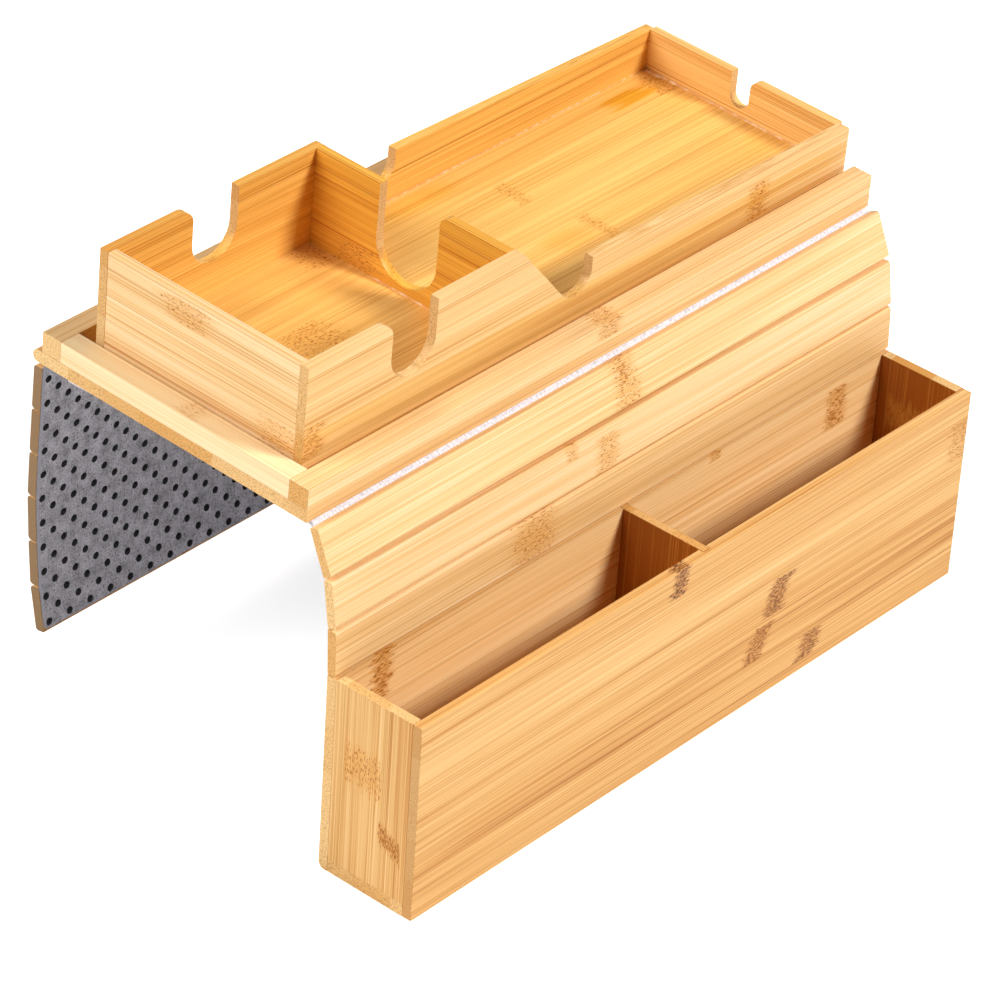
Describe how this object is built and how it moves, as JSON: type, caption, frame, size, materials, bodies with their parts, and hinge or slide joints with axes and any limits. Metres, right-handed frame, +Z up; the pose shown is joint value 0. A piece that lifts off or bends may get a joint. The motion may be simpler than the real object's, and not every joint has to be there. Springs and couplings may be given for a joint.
{
  "type": "sofa arm tray",
  "caption": "Slatted bamboo mat on grey felt that drapes over a sofa arm, with a framed top, a loose cup and phone caddy and an open side box.",
  "frame": {"origin": "on the underside of the felt that rests on the sofa arm, under the middle of the framed base", "axes": "+X across the arm towards the side box, +Y along the arm towards the open end of the frame, +Z up"},
  "size_m": [0.2271, 0.36, 0.2233],
  "materials": {
    "bamboo": "clear satin lacquer",
    "felt": "needled felt with raised black dots"
  },
  "bodies": {
    "base": {"base_board": "bamboo", "left_rail": "bamboo", "right_rail": "bamboo", "front_rail": "bamboo", "base_felt": "felt"},
    "caddy": {"caddy_left_wall": "bamboo", "caddy_right_wall": "bamboo", "caddy_front_wall": "bamboo", "caddy_back_wall": "bamboo", "caddy_divider": "bamboo", "caddy_floor": "bamboo"},
    "left_slat_1": {"left_slat_1": "bamboo", "left_felt_1": "felt"},
    "left_slat_2": {"left_slat_2": "bamboo", "left_felt_2": "felt"},
    "left_slat_3": {"left_slat_3": "bamboo", "left_felt_3": "felt"},
    "left_slat_4": {"left_slat_4": "bamboo", "left_felt_4": "felt"},
    "left_slat_5": {"left_slat_5": "bamboo", "left_felt_5": "felt"},
    "left_slat_6": {"left_slat_6": "bamboo", "left_felt_6": "felt"},
    "right_slat_1": {"right_slat_1": "bamboo", "right_felt_1": "felt"},
    "right_slat_2": {"right_slat_2": "bamboo", "right_felt_2": "felt"},
    "right_slat_3": {"right_slat_3": "bamboo", "right_felt_3": "felt"},
    "box": {"box_back": "bamboo", "box_front": "bamboo", "box_near_end": "bamboo", "box_far_end": "bamboo", "box_bottom": "bamboo", "box_divider": "bamboo", "box_felt": "felt"}
  },
  "joints": [
    {"name": "caddy_lift", "type": "slide", "parent": "base", "child": "caddy", "axis": [0, 0, 1], "range_m": [0, 0.12]},
    {"name": "left_bend_1", "type": "hinge", "parent": "base", "child": "left_slat_1", "pos_m": [-0.0726, 0, 0], "axis": [0, -1, 0], "range_deg": [-12, 8]},
    {"name": "left_bend_2", "type": "hinge", "parent": "left_slat_1", "child": "left_slat_2", "pos_m": [-0.07298, 0, -0.022], "axis": [0, -1, 0], "range_deg": [0, 20]},
    {"name": "left_bend_3", "type": "hinge", "parent": "left_slat_2", "child": "left_slat_3", "pos_m": [-0.07337, 0, -0.04399], "axis": [0, -1, 0], "range_deg": [-0.5, 19.5]},
    {"name": "left_bend_4", "type": "hinge", "parent": "left_slat_3", "child": "left_slat_4", "pos_m": [-0.07356, 0, -0.06599], "axis": [0, -1, 0], "range_deg": [-4.5, 15.5]},
    {"name": "left_bend_5", "type": "hinge", "parent": "left_slat_4", "child": "left_slat_5", "pos_m": [-0.07203, 0, -0.08794], "axis": [0, -1, 0], "range_deg": [-1.5, 18.5]},
    {"name": "left_bend_6", "type": "hinge", "parent": "left_slat_5", "child": "left_slat_6", "pos_m": [-0.06992, 0, -0.10984], "axis": [0, -1, 0], "range_deg": [-6.5, 13.5]},
    {"name": "right_bend_1", "type": "hinge", "parent": "base", "child": "right_slat_1", "pos_m": [0.0752, 0, 0], "axis": [0, 1, 0], "range_deg": [-65, 12]},
    {"name": "right_bend_2", "type": "hinge", "parent": "right_slat_1", "child": "right_slat_2", "pos_m": [0.0845, 0, -0.01994], "axis": [0, 1, 0], "range_deg": [-14.5, 5.5]},
    {"name": "right_bend_3", "type": "hinge", "parent": "right_slat_2", "child": "right_slat_3", "pos_m": [0.08851, 0, -0.04157], "axis": [0, 1, 0], "range_deg": [-6, 14]},
    {"name": "box_bend", "type": "hinge", "parent": "right_slat_3", "child": "box", "pos_m": [0.09023, 0, -0.0635], "axis": [0, 1, 0], "range_deg": [-2.5, 17.5]}
  ]
}
